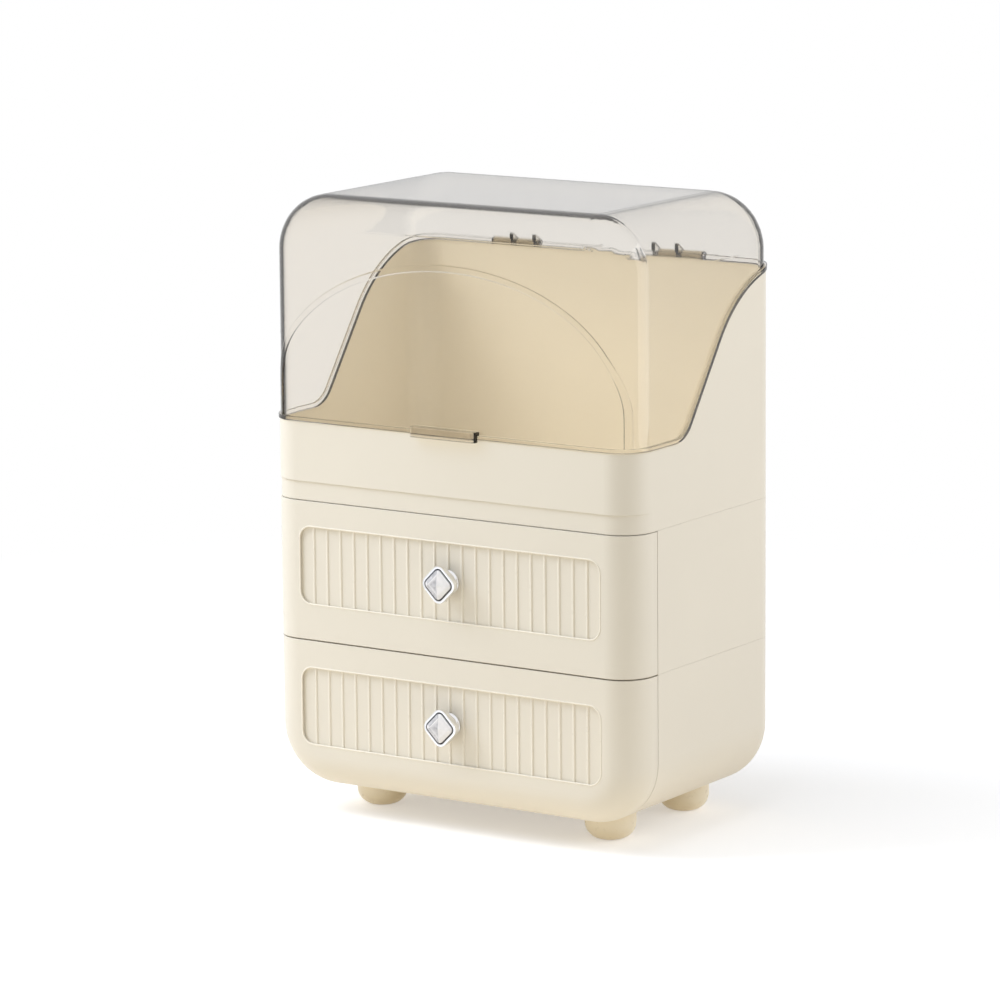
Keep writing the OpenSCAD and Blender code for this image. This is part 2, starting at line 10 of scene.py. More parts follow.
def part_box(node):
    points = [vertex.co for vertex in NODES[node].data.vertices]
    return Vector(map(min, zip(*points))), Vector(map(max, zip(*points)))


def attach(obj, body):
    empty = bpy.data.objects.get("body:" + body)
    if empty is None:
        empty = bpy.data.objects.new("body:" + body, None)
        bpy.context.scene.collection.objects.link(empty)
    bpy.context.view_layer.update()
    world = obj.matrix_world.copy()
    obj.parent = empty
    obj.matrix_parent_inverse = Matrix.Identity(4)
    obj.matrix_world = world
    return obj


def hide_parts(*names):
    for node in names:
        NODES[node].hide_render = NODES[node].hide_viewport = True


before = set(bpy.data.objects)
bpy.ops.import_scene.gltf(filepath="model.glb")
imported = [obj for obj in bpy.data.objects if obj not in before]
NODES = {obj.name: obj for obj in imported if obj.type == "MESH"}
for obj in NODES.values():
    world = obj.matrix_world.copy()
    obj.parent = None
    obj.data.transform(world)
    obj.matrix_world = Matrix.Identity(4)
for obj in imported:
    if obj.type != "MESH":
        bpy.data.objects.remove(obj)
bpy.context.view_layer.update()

bl_info = {
    "name": "Vanity organizer",
    "version": (1, 0, 0),
    "blender": (4, 5, 0),
    "location": "3D View > Sidebar > Organizer",
    "description": "Finishes, fixings, studio and camera for the vanity organizer",
    "category": "Object",
}

MM = 0.001

SHELLS = ("lower_casing", "upper_casing", "top_tray", "lower_drawer_front", "upper_drawer_front")
BOXES = ("lower_drawer_box", "upper_drawer_box")
FEET = ("foot_front_left", "foot_front_right", "foot_rear_left", "foot_rear_right")
DRAWERS = ("lower", "upper")

# Roughness and radius of the moulded edges
SHELL_FINISH = (0.36, 0.75 * MM)
FOOT_FINISH = (0.30, 0.5 * MM)
BOX_FINISH = (0.40, 0.3 * MM)
RIB_FINISH = (0.30, 0.2 * MM)
PLASTIC_IOR = 1.49

# Ribs of the fluted panels
RIB_STEPS = 20
RIB_OVERLAP = 0.1 * MM          # run of a rib past the edge of its panel
RIB_SUNK = 0.2 * MM             # middle of a rib below the flat strips
LIP_SUNK = 0.25 * MM            # middle of the lip below the drawer face
KNOB_CLEARANCE = 1.6 * MM       # room between the knob's stem and the ribs

# Knob
CORNER_STEPS = 10
GROOVE_DEPTH = 0.9 * MM
GROOVE_MARGIN = 0.05 * MM       # tolerance when the sloped faces of the groove are picked by height
STEM_DEPTH = 1.6 * MM           # foot of the stem behind the drawer face
# Foot of the stem, in mm past its radius and above the floor of the panel
STEM_FOOT = ((0.9, 0), (1.3, 0.35), (1.3, 0.85), (1.0, 1.15), (0.25, 1.3), (0, 1.7))
# Neck of the stem, in mm past its radius and in front of the back of the rim
STEM_NECK = ((0, -0.8), (0.3, -0.25), (0.9, 0.1))
STONE_GIRDLE = 0.15 * MM        # upright part of the stone above the rim
STONE_BORDER = 2.2 * MM         # width of the sloped border
STONE_SLOPE = 1.0 * MM          # rise of the sloped border
STONE_STEP = 0.5 * MM           # flat step between the border and the crown

# Screws and pins. Each head is a list of shares of its radius and height
SCREW_HEAD = ((1, 0), (1, 0.35), (0.93, 0.65), (0.75, 0.88), (0.45, 1), (0.1, 1))
SCREW_STEPS = 20
SCREW_CORE = 0.78               # core of the thread as a share of its outer radius
SCREW_TIP = (0.15 * MM, 1.2 * MM)       # radius of the blunt tip, length of the taper
SCREW_NECK = (0.3 * MM, 0.8 * MM)       # plain shank under the head, where the threads end at the latest
RECESS = (1.25, 0.24, 1.2)      # bar of the recess: length and width in head radii, height in head heights
RECESS_TAPER = 0.45             # width of the bar's lower end as a share of its upper end
SCREW_SPIN = (0.4, 0.7)         # turn of the first screw of a group, and of each next one, in radians
KNOB_SCREW_RISE, KNOB_SCREW_SHANK, KNOB_SCREW_PITCH, KNOB_SCREW_SPIN = 2 * MM, 2 * MM, 0.9 * MM, 0.6
PIN_HEAD = ((1, 0), (1, 0.4), (0.88, 0.72), (0.6, 0.93), (0.2, 1))
PIN_RISE, PIN_RADIUS = 1.2 * MM, 1.5 * MM
PIN_TIP = (0.7, 0.5 * MM)       # radius of the tip as a share of the pin's, length of its taper

# Studio
WHITE = (1, 1, 1)
PAPER_SEEN, PAPER_LIFT = 0.88, 0.36     # grey of the paper that the camera sees, and the light added to it
PAPER_FADE = (0.35, 0.9)        # distances between which the paper turns into even white
PAPER_GLOW = (1, 0.84, 0.58)
FILL_COLOUR = (1, 0.95, 0.86)
ASTRAY_COLOUR, ASTRAY = (1, 0.95, 0.9), 0.06
# Name and power setting, place, size, target, colour, and whether glossy pieces show it
SOFTBOXES = (
    ("left", "key", (-1.05, -0.62, 1.15), (0.9, 0.9), (0, 0, 0.22), (0.93, 1.0, 1.14), False),
    ("right", "side", (1.06, 0.45, 0.58), (1.1, 1.1), (0, 0, 0.4), (0.97, 1.0, 1.08), True),
    ("top", "top", (-0.1, -0.5, 1.9), (1.5, 1.2), (0, 0, 0.3), WHITE, False),
    ("low", "low", (-0.75, -1.35, 0.16), (1.6, 0.3), (0, 0, 0.06), (0.98, 0.99, 1.0), False),
)
FLOOR_SIZE = 40
SENSOR_MM = 36


# Settings


class OrganizerFinish(bpy.types.PropertyGroup):
    shell: FloatVectorProperty(
        name="Shell colour", description="Cream plastic of the casings, fronts and tray",
        default=(0.83, 0.783, 0.678), subtype="COLOR", size=3)
    foot: FloatVectorProperty(
        name="Foot colour", description="Milky soft plastic of the feet",
        default=(0.95, 0.87, 0.69), subtype="COLOR", size=3)
    box: FloatVectorProperty(
        name="Box colour", description="Paler plastic of the drawer boxes",
        default=(0.85, 0.81, 0.72), subtype="COLOR", size=3)
    hood: FloatVectorProperty(
        name="Hood colour", description="Warm tint of the clear hood seen square on",
        default=(0.985, 0.975, 0.955), subtype="COLOR", size=3)
    # Painted shade: dark colour that the hood turns to where it is seen edge on
    hood_edge_painted_shade: FloatVectorProperty(
        name="Hood edge painted shade", description="Tint of the hood where it is seen edge on",
        default=(0.25, 0.22, 0.19), subtype="COLOR", size=3)
    hood_smoke: FloatVectorProperty(
        name="Hood body colour", description="Colour that the hood turns light that runs through its walls",
        default=(0.47, 0.36, 0.22), subtype="COLOR", size=3)
    hood_density: FloatProperty(
        name="Hood density", description="How much light the hood's walls take up, per metre", default=45.0)
    hood_shade: FloatVectorProperty(
        name="Hood shade", description="Tint of the lamps' light inside the hood, for each face that it passes",
        default=(0.88, 0.85, 0.78), subtype="COLOR", size=3)
    chrome: FloatVectorProperty(
        name="Chrome colour", description="Plated rims of the knobs",
        default=(0.87, 0.87, 0.88), subtype="COLOR", size=3)
    # Painted reflection: dark colour on the plating in the groove round the stones, standing for the dark that
    # chrome reflects there
    groove: FloatVectorProperty(
        name="Groove painted reflection colour", description="Darkened plating in the groove round the stones",
        default=(0.16, 0.16, 0.17), subtype="COLOR", size=3)
    # Painted reflection: grey colour given to the left-facing crown facets of the stones
    facet_painted_reflection: FloatVectorProperty(
        name="Facet painted reflection colour", description="Crown facets of the stones that look dark inside",
        default=(0.50, 0.50, 0.53), subtype="COLOR", size=3)
    stone: FloatVectorProperty(
        name="Stone colour", description="Cut stones of the knobs",
        default=(0.90, 0.90, 0.92), subtype="COLOR", size=3)
    steel: FloatVectorProperty(
        name="Steel colour", description="Screws and hinge pins",
        default=(0.56, 0.56, 0.57), subtype="COLOR", size=3)


class OrganizerPanel(bpy.types.PropertyGroup):
    width: FloatProperty(
        name="Width", description="Width of the fluted panels", default=214 * MM, unit="LENGTH")
    height: FloatProperty(
        name="Height", description="Height of the fluted panels", default=47.8 * MM, unit="LENGTH")
    deep: FloatProperty(
        name="Depth", description="Depth of the panels below the drawer face", default=1.6 * MM, unit="LENGTH")
    strips: IntProperty(
        name="Strips", description="Number of flat strips between the ribs", default=22)
    corner: FloatProperty(
        name="Corner radius", description="Radius of the corners of the panels", default=8 * MM, unit="LENGTH")
    lip: FloatProperty(
        name="Lip radius", description="Radius of the fine round lip on the edge of the panels",
        default=0.55 * MM, unit="LENGTH")
    # Painted highlight: this factor colours the ribs and lips paler than the shell, standing for the light on
    # their crests
    pale: FloatProperty(
        name="Pale crests", description="How much paler the thin ribs and lips are than the shell",
        default=1.12)
    bead: FloatProperty(
        name="Bead radius", description="Radius of the ribs, which lie in the grooves between the strips",
        default=0.9 * MM, unit="LENGTH")


class OrganizerKnob(bpy.types.PropertyGroup):
    across: FloatProperty(
        name="Width", description="Knob rim from corner to corner",
        default=22.4 * MM, unit="LENGTH")
    corner: FloatProperty(
        name="Corner radius", description="Radius of the four softened corners",
        default=5 * MM, unit="LENGTH")
    out: FloatProperty(
        name="Reach", description="Front edge of the rim in front of the drawer face",
        default=9.5 * MM, unit="LENGTH")
    thick: FloatProperty(
        name="Rim thickness", description="Thickness of the plated rim",
        default=4.2 * MM, unit="LENGTH")
    lip: FloatProperty(
        name="Lip", description="Width of the rim round the stone",
        default=1.3 * MM, unit="LENGTH")
    groove: FloatProperty(
        name="Groove", description="Width of the dark sloped groove between the rim and the stone",
        default=1.1 * MM, unit="LENGTH")
    seat: FloatProperty(
        name="Seat depth", description="Depth of the seat of the stone below the rim",
        default=1.6 * MM, unit="LENGTH")
    rise: FloatProperty(
        name="Stone rise", description="Height of the stone above the rim",
        default=2 * MM, unit="LENGTH")
    stem: FloatProperty(
        name="Stem radius", description="Radius of the round stem",
        default=6.2 * MM, unit="LENGTH")


class OrganizerScrew(bpy.types.PropertyGroup):
    head: FloatProperty(
        name="Head radius", description="Radius of the pan heads", default=2.7 * MM, unit="LENGTH")
    rise: FloatProperty(
        name="Head height", description="Height of the pan heads", default=1.6 * MM, unit="LENGTH")
    shank: FloatProperty(
        name="Shank radius", description="Outer radius of the threads", default=1.5 * MM, unit="LENGTH")
    pitch: FloatProperty(
        name="Pitch", description="Distance between two threads", default=1.2 * MM, unit="LENGTH")


class OrganizerStudio(bpy.types.PropertyGroup):
    camera_at: FloatVectorProperty(
        name="Camera place", description="Where the camera stands",
        default=(1.6325, -2.4770, 0.7425), subtype="XYZ", unit="LENGTH", size=3)
    camera_to: FloatVectorProperty(
        name="Camera target", description="Point that the camera looks at",
        default=(0.0, -0.0097, 0.2111), subtype="XYZ", unit="LENGTH", size=3)
    roll: FloatProperty(
        name="Roll", description="Turn of the camera about its own axis",
        default=math.radians(-0.471), subtype="ANGLE")
    lens: FloatProperty(
        name="Lens", description="Focal length on a 36 mm sensor, in millimetres", default=180.36)
    shift_x: FloatProperty(name="Shift X", description="Sideways shift of the frame", default=-0.0115)
    shift_y: FloatProperty(name="Shift Y", description="Upward shift of the frame", default=-0.030)
    key: FloatProperty(
        name="Key light", description="Power of the left softbox", default=15.5, unit="POWER")
    side: FloatProperty(
        name="Side light", description="Power of the right softbox", default=6.0, unit="POWER")
    top: FloatProperty(
        name="Top light", description="Power of the overhead softbox", default=10.0, unit="POWER")
    low: FloatProperty(
        name="Low light", description="Power of the low softbox in front", default=2.2, unit="POWER")
    paper: FloatVectorProperty(
        name="Paper colour", description="Warm pale paper that the organizer stands on",
        default=(0.9, 0.82, 0.68), subtype="COLOR", size=3)
    glow: FloatProperty(
        name="Paper glow", description="Strength of the warm light that comes up through the paper",
        default=0.12)
    fill: FloatProperty(
        name="Fill", description="Strength of the warm room light that comes in through the clear hood",
        default=1.55)
    air: FloatProperty(name="Ambient", description="Strength of the room's even light", default=0.32)


class OrganizerSettings(bpy.types.PropertyGroup):
    finish: PointerProperty(type=OrganizerFinish)
    panel: PointerProperty(type=OrganizerPanel)
    knob: PointerProperty(type=OrganizerKnob)
    screw: PointerProperty(type=OrganizerScrew)
    studio: PointerProperty(type=OrganizerStudio)


def settings():
    return bpy.context.scene.organizer


# Modelling helpers


def deselect():
    if bpy.context.mode != "OBJECT":
        bpy.ops.object.mode_set(mode="OBJECT")
    bpy.ops.object.select_all(action="DESELECT")


def only(ob):
    deselect()
    ob.select_set(True)
    bpy.context.view_layer.objects.active = ob


def named(name):
    ob = bpy.context.view_layer.objects.active
    ob.name = ob.data.name = name
    return ob


def apply_transform():
    bpy.ops.object.transform_apply(location=True, rotation=True, scale=True)


def turned(x=0.0, y=0.0):
    return Euler((x, y, 0)).to_matrix().to_4x4()


def place(ob, matrix):
    """Moves a piece, and lays its place and turn in its mesh."""
    ob.matrix_world = matrix @ ob.matrix_world
    only(ob)
    apply_transform()


def edit_all(kind):
    """Enters edit mode with everything selected, as VERT or FACE."""
    bpy.ops.object.mode_set(mode="EDIT")
    bpy.ops.mesh.select_mode(type=kind)
    bpy.ops.mesh.select_all(action="SELECT")


def pick_faces(ob, test):
    """Enters edit mode with the faces selected whose middle and normal pass the test."""
    bpy.ops.object.mode_set(mode="OBJECT")
    mesh = ob.data
    for group in (mesh.vertices, mesh.edges):
        group.foreach_set("select", [False] * len(group))
    for f in mesh.polygons:
        f.select = test(f.center, f.normal)
    bpy.context.tool_settings.mesh_select_mode = (False, False, True)
    bpy.ops.object.mode_set(mode="EDIT")


def push(vector):
    bpy.ops.mesh.extrude_region_move(TRANSFORM_OT_translate={"value": vector})


def face_outward():
    """Turns all the normals of the mesh in edit mode outward, and leaves edit mode."""
    bpy.ops.mesh.select_all(action="SELECT")
    bpy.ops.mesh.normals_make_consistent(inside=False)
    bpy.ops.object.mode_set(mode="OBJECT")


def round_corners(radius):
    bpy.ops.mesh.bevel(
        offset=radius, segments=CORNER_STEPS, profile=0.5, affect="VERTICES", offset_type="OFFSET")


def lathe(name, rings, steps):
    """Turned piece about z, closed at both ends: a circle pushed up and widened to each (radius, height)."""
    deselect()
    r, z = rings[0]
    bpy.ops.mesh.primitive_circle_add(vertices=steps, radius=r, fill_type="NGON", location=(0, 0, z))
    ob = named(name)
    apply_transform()
    edit_all("FACE")
    for r2, z2 in rings[1:]:
        push((0, 0, z2 - z))
        if abs(r2 - r) > 1e-9:
            bpy.ops.transform.resize(value=(r2 / r, r2 / r, 1), center_override=(0, 0, z2))
        r, z = r2, z2
    face_outward()
    return ob


def head_rings(profile, radius, height):
    """Rings of a screw's or pin's head that stands on z = 0."""
    return [(radius * out, height * up) for out, up in profile]


def soften(ob, width, segments, angle):
    """Bevels the edges that are sharper than an angle in degrees."""
    m = ob.modifiers.new("Soft edges", "BEVEL")
    m.width, m.segments, m.limit_method, m.angle_limit = width, segments, "ANGLE", math.radians(angle)
    m.harden_normals = True
    only(ob)
    bpy.ops.object.modifier_apply(modifier=m.name)


def smooth(ob, angle):
    """Shades a piece smooth, except for edges that are sharper than an angle in degrees."""
    only(ob)
    bpy.ops.object.shade_smooth_by_angle(angle=math.radians(angle))


def copy_of(ob, name, matrix):
    """Moved copy with its own mesh."""
    only(ob)
    bpy.ops.object.duplicate(linked=False)
    new = named(name)
    place(new, matrix)
    return new


def joined(obs, name):
    only(obs[0])
    for ob in obs:
        ob.select_set(True)
    bpy.ops.object.join()
    return named(name)


def drop(ob):
    only(ob)
    bpy.ops.object.delete()


def cut(ob, tool):
    m = ob.modifiers.new("Cut", "BOOLEAN")
    m.operation, m.object, m.solver = "DIFFERENCE", tool, "EXACT"
    only(ob)
    bpy.ops.object.modifier_apply(modifier=m.name)
    drop(tool)


def diamond(name, across, corner, z):
    """Flat square on its corner with rounded corners, left in edit mode."""
    deselect()
    side = (across - 2 * corner) / math.sqrt(2) + 2 * corner
    bpy.ops.mesh.primitive_plane_add(size=side, location=(0, 0, z), rotation=(0, 0, math.pi / 4))
    ob = named(name)
    apply_transform()
    edit_all("VERT")
    round_corners(corner)
    bpy.ops.mesh.select_mode(type="FACE")
    bpy.ops.mesh.select_all(action="SELECT")
    return ob


def rounded_frame(name, width, height, corner, radius):
    """Round bead along a rounded rectangle that stands upright, facing the front."""
    deselect()
    bpy.ops.mesh.primitive_plane_add(size=1, rotation=(math.pi / 2, 0, 0))
    ob = named(name)
    apply_transform()
    edit_all("VERT")
    bpy.ops.transform.resize(value=(width, 1, height), center_override=(0, 0, 0))
    round_corners(corner)
    bpy.ops.mesh.select_all(action="SELECT")
    bpy.ops.mesh.delete(type="ONLY_FACE")
    bpy.ops.object.mode_set(mode="OBJECT")
    bpy.ops.object.convert(target="CURVE")
    ob = bpy.context.view_layer.objects.active
    ob.data.bevel_depth, ob.data.bevel_resolution = radius, 3
    bpy.ops.object.convert(target="MESH")
    return named(name)


def screw_model(head, rise, shank, length, pitch):
    """Pan-head screw along z, its head standing on z = 0, with a cross recess and cut threads."""
    core = shank * SCREW_CORE
    tip_radius, tip = SCREW_TIP
    plain, threads_end = SCREW_NECK
    rings = [(tip_radius, -length), (core, -length + tip)]
    z = -length + tip
    while z + pitch < -threads_end:
        rings += [(shank, z + 0.4 * pitch), (shank, z + 0.5 * pitch), (core, z + 0.9 * pitch)]
        z += pitch
    rings += [(core, -plain), (core, 0)] + head_rings(SCREW_HEAD, head, rise)
    ob = lathe("screw_model", rings, SCREW_STEPS)
    long, wide, high = RECESS
    bars = []
    for turn in (0, math.pi / 2):
        deselect()
        bpy.ops.mesh.primitive_cube_add(size=1, location=(0, 0, rise), rotation=(0, 0, turn),
                                        scale=(long * head, wide * head, high * rise))
        bar = named("recess_bar")
        apply_transform()
        pick_faces(bar, lambda middle, normal: normal.z < -0.5)
        bpy.ops.transform.resize(value=(RECESS_TAPER, RECESS_TAPER, 1), center_override=(0, 0, 0))
        bpy.ops.object.mode_set(mode="OBJECT")
        bars.append(bar)
    for bar in bars:
        cut(ob, bar)
    smooth(ob, angle=42)
    dress(ob, steel_material())
    return ob


def on_drawer(which):
    """Placement that stands a knob part, drawn along z, on the face of a drawer."""
    lo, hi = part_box(which + "_knob_rim")
    face = lo.y + settings().knob.out
    return Matrix.Translation((0, face, (lo.z + hi.z) / 2)) @ turned(x=math.pi / 2)


# Materials


def math_node(tree, kind, a, b):
    """Sum, difference, product or largest of two values, kept between 0 and 1."""
    n = tree.nodes.new("ShaderNodeMath")
    n.operation, n.use_clamp = kind, True
    for i, v in enumerate((a, b)):
        if isinstance(v, (int, float)):
            n.inputs[i].default_value = v
        else:
            tree.links.new(v, n.inputs[i])
    return n.outputs[0]


def mixed(tree, fac, a, b):
    n = tree.nodes.new("ShaderNodeMixShader")
    tree.links.new(fac, n.inputs[0])
    tree.links.new(a, n.inputs[1])
    tree.links.new(b, n.inputs[2])
    return n.outputs[0]


def glow(tree, kind, colour, strength):
    n = tree.nodes.new(kind)
    n.inputs["Color"].default_value, n.inputs["Strength"].default_value = (*colour, 1), strength
    return n.outputs[0]


def ray_kinds(tree):
    """Two masks: rays that should meet the white background (the camera's, reflected and refracted ones), and
    rays that ran on inside clear plastic and leave it in other directions, where a studio is dark."""
    path = tree.nodes.new("ShaderNodeLightPath").outputs
    lit = math_node(tree, "SUBTRACT", 1, path["Diffuse Depth"])
    seen = math_node(tree, "MAXIMUM", path["Is Camera Ray"], path["Is Glossy Ray"])
    seen = math_node(tree, "MAXIMUM", seen, path["Is Transmission Ray"])
    reflected = math_node(tree, "ADD", path["Glossy Depth"], 0)
    refracted = math_node(tree, "ADD", path["Transmission Depth"], 0)
    astray = math_node(tree, "MULTIPLY", reflected, refracted)
    return math_node(tree, "MULTIPLY", seen, lit), math_node(tree, "MULTIPLY", astray, lit)


class Finish:
    """A node tree with one Principled shader and short calls for its parts."""

    def __init__(self, name, colour, rough, metal=0.0):
        self.mat = bpy.data.materials.new(name)
        self.mat.use_nodes = True
        self.tree = self.mat.node_tree
        self.shader = next(n for n in self.tree.nodes if n.type == "BSDF_PRINCIPLED")
        self.out = next(n for n in self.tree.nodes if n.type == "OUTPUT_MATERIAL")
        self.set("Base Color", (*colour, 1))
        self.set("Roughness", rough)
        self.set("Metallic", metal)
        self.mat.diffuse_color = (*colour, 1)
        self.at = self.node("ShaderNodeTexCoord").outputs["Object"]

    def set(self, socket, value):
        self.shader.inputs[socket].default_value = value

    def node(self, kind, **values):
        n = self.tree.nodes.new(kind)
        for key, value in values.items():
            if key in n.inputs:
                n.inputs[key].default_value = value
            else:
                setattr(n, key, value)
        return n

    def link(self, a, b):
        self.tree.links.new(a, b)

    def noise(self, scale, detail, stretch=None):
        at = self.at
        if stretch:
            m = self.node("ShaderNodeMapping")
            m.inputs["Scale"].default_value = stretch
            self.link(at, m.inputs["Vector"])
            at = m.outputs["Vector"]
        n = self.node("ShaderNodeTexNoise", Scale=scale, Detail=detail)
        self.link(at, n.inputs["Vector"])
        return n.outputs["Fac"]

    def ramp(self, fac, low, high, start=0.3, end=0.7):
        """Maps a value between start and end to the numbers or colours low to high."""
        if isinstance(low, (int, float)):
            m = self.node("ShaderNodeMapRange")
            for key, value in (("From Min", start), ("From Max", end), ("To Min", low), ("To Max", high)):
                m.inputs[key].default_value = value
            self.link(fac, m.inputs["Value"])
            return m.outputs["Result"]
        m = self.node("ShaderNodeValToRGB")
        m.color_ramp.elements[0].position, m.color_ramp.elements[1].position = start, end
        m.color_ramp.elements[0].color, m.color_ramp.elements[1].color = (*low, 1), (*high, 1)
        self.link(fac, m.inputs["Fac"])
        return m.outputs["Color"]

    def bump(self, height, distance, strength, under=None):
        b = self.node("ShaderNodeBump", Distance=distance, Strength=strength)
        self.link(height, b.inputs["Height"])
        if under is not None:
            self.link(under, b.inputs["Normal"])
        return b.outputs["Normal"]

    def rounded(self, radius):
        """Normal that rounds sharp moulded edges by this radius."""
        return self.node("ShaderNodeBevel", Radius=radius, samples=6).outputs["Normal"]

    def blended(self, fac, low, high):
        """Colour that goes from low to high as fac goes from 0 to 1."""
        m = self.node("ShaderNodeMix", data_type="RGBA")
        for source, socket in ((fac, 0), (low, 6), (high, 7)):
            self.link(source, m.inputs[socket])
        return m.outputs[2]

    def feed(self, source, socket):
        self.link(source, self.shader.inputs[socket])


def shade(colour, k):
    return tuple(min(1.0, c * k) for c in colour)


def moulded(name, colour, rough, edge):
    """Satin injection-moulded plastic: faint flow marks, fine mould texture, slight waves and rounded edges."""
    f = Finish(name, colour, rough)
    f.set("IOR", PLASTIC_IOR)
    f.feed(f.ramp(f.noise(scale=9, detail=4), shade(colour, 0.985), shade(colour, 1.012)), "Base Color")
    f.feed(f.ramp(f.noise(scale=260, detail=5), rough - 0.04, rough + 0.05), "Roughness")
    grain = f.bump(f.noise(scale=2600, detail=2), 0.004 * MM, strength=0.5, under=f.rounded(edge))
    f.feed(f.bump(f.noise(scale=55, detail=2), 0.05 * MM, strength=0.25, under=grain), "Normal")
    return f.mat


def clear_plastic(name, colour, edge_shade_colour, smoke, density, shadow):
    """Clear moulded plastic: its body takes up light, the parts seen edge on are darkened with painted shade,
    and lamps shine through it tinted.
    """
    f = Finish(name, colour, 0.02)
    f.set("IOR", PLASTIC_IOR)
    f.set("Transmission Weight", 1.0)
    # Painted shade: the colour darkens as the surface is seen more edge on, and near the silhouette a dark
    # transparent sheet takes over
    grazing = f.node("ShaderNodeLayerWeight", Blend=0.5).outputs["Facing"]
    f.feed(f.ramp(grazing, colour, edge_shade_colour, start=0.84, end=1.0), "Base Color")
    f.feed(f.ramp(f.noise(scale=120, detail=4), 0.0, 0.03), "Roughness")
    f.feed(f.bump(f.noise(scale=14, detail=2), 0.12 * MM, strength=0.2, under=f.rounded(0.7 * MM)), "Normal")
    rim = f.node("ShaderNodeBsdfTransparent", Color=(*edge_shade_colour, 1))
    edge_on = f.ramp(grazing, 0.0, 0.9, start=0.92, end=0.98)
    painted_edge_shade = mixed(f.tree, edge_on, f.shader.outputs[0], rim.outputs[0])
    clear = f.node("ShaderNodeBsdfTransparent", Color=(*shadow, 1))
    to_lamp = f.node("ShaderNodeLightPath").outputs["Is Shadow Ray"]
    f.link(mixed(f.tree, to_lamp, painted_edge_shade, clear.outputs[0]), f.out.inputs["Surface"])
    body = f.node("ShaderNodeVolumeAbsorption", Color=(*smoke, 1), Density=density)
    f.link(body.outputs[0], f.out.inputs["Volume"])
    return f.mat


def plated(name, colour):
    """Bright plating with faint polishing haze."""
    f = Finish(name, colour, 0.08, 1.0)
    f.feed(f.ramp(f.noise(scale=700, detail=4), 0.05, 0.14), "Roughness")
    f.feed(f.bump(f.noise(scale=900, detail=2), 0.004 * MM, strength=0.3), "Normal")
    return f.mat


def cut_stone(name, colour, facet_painted_reflection):
    """Polished white cut stone with a clear coat. The crown facets that face left get a painted reflection:
    their colour is set grey, as cut glass looks where its back reflects the dark side of a room."""
    f = Finish(name, colour, 0.12)
    f.set("IOR", 1.6)
    f.set("Coat Weight", 0.6)
    f.set("Coat Roughness", 0.03)
    split = f.node("ShaderNodeSeparateXYZ")
    f.link(f.node("ShaderNodeTexCoord").outputs["Normal"], split.inputs[0])
    sideways = split.outputs["X"]
    cloudy = f.ramp(f.noise(scale=240, detail=3), shade(colour, 0.93), shade(colour, 1.04))
    # Painted reflection: the grey colour of the crown facets that face left
    grey = f.ramp(f.noise(scale=420, detail=3), shade(facet_painted_reflection, 0.8), shade(facet_painted_reflection, 1.35))
    not_ahead = f.ramp(sideways, 1.0, 0.0, start=-0.09, end=-0.05)
    not_steep = f.ramp(sideways, 0.0, 1.0, start=-0.34, end=-0.28)
    f.feed(f.blended(math_node(f.tree, "MULTIPLY", not_ahead, not_steep), cloudy, grey), "Base Color")
    f.feed(f.ramp(f.noise(scale=500, detail=3), 0.08, 0.16), "Roughness")
    return f.mat


def turned_steel(name, colour):
    """Plain steel with fine drawn marks."""
    f = Finish(name, colour, 0.32, 1.0)
    f.feed(f.ramp(f.noise(scale=1500, detail=3, stretch=(1, 1, 0.15)), 0.24, 0.42), "Roughness")
    f.feed(f.bump(f.noise(scale=2500, detail=2), 0.006 * MM, strength=0.4), "Normal")
    return f.mat


def stage_material(name, colour, warm):
    """Plain pale paper, lit a little from below: it throws warm light up, keeps the shadows beside the object,
    and shows as even white further off."""
    f = Finish(name, colour, 0.9)
    f.set("Specular IOR Level", 0.0)
    t = f.tree
    seen, astray = ray_kinds(t)
    grey = f.node("ShaderNodeRGB").outputs[0]
    grey.default_value = (PAPER_SEEN, PAPER_SEEN, PAPER_SEEN, 1)
    f.feed(f.blended(seen, f.ramp(f.noise(scale=3, detail=2), shade(colour, 0.99), colour), grey), "Base Color")
    away = f.node("ShaderNodeVectorMath", operation="LENGTH")
    f.link(f.at, away.inputs[0])
    far = f.ramp(away.outputs["Value"], 0.0, 1.0, *PAPER_FADE)
    thrown = glow(t, "ShaderNodeEmission", PAPER_GLOW, warm)
    shown = glow(t, "ShaderNodeEmission", WHITE, PAPER_LIFT)
    lift = f.node("ShaderNodeAddShader")
    f.link(f.shader.outputs[0], lift.inputs[0])
    f.link(mixed(t, seen, thrown, shown), lift.inputs[1])
    even = glow(t, "ShaderNodeEmission", WHITE, 1.0)
    paper = mixed(t, math_node(t, "MULTIPLY", far, seen), lift.outputs[0], even)
    dark = glow(t, "ShaderNodeEmission", ASTRAY_COLOUR, ASTRAY)
    f.link(mixed(t, astray, paper, dark), f.out.inputs["Surface"])
    return f.mat


def dress(ob, mat):
    ob.data.materials.clear()
    ob.data.materials.append(mat)


def material(name, make, *values):
    return bpy.data.materials.get(name) or make(name, *values)


def steel_material():
    return material("Fixing steel", turned_steel, settings().finish.steel)


# Operators


class ORGANIZER_OT_shells(bpy.types.Operator):
    """Gives the casings, tray and fronts their cream plastic, the feet a milky one and the boxes a paler one"""

    bl_idname = "organizer.shells"
    bl_label = "Shells and boxes"

    def execute(self, context):
        c = settings().finish
        cream = material("Cream plastic", moulded, c.shell, *SHELL_FINISH)
        pale = material("Pale plastic", moulded, c.box, *BOX_FINISH)
        milky = material("Foot plastic", moulded, c.foot, *FOOT_FINISH)
        for nodes, plastic in ((SHELLS, cream), (FEET, milky), (BOXES, pale)):
            for node in nodes:
                dress(NODES[node], plastic)
        return {"FINISHED"}


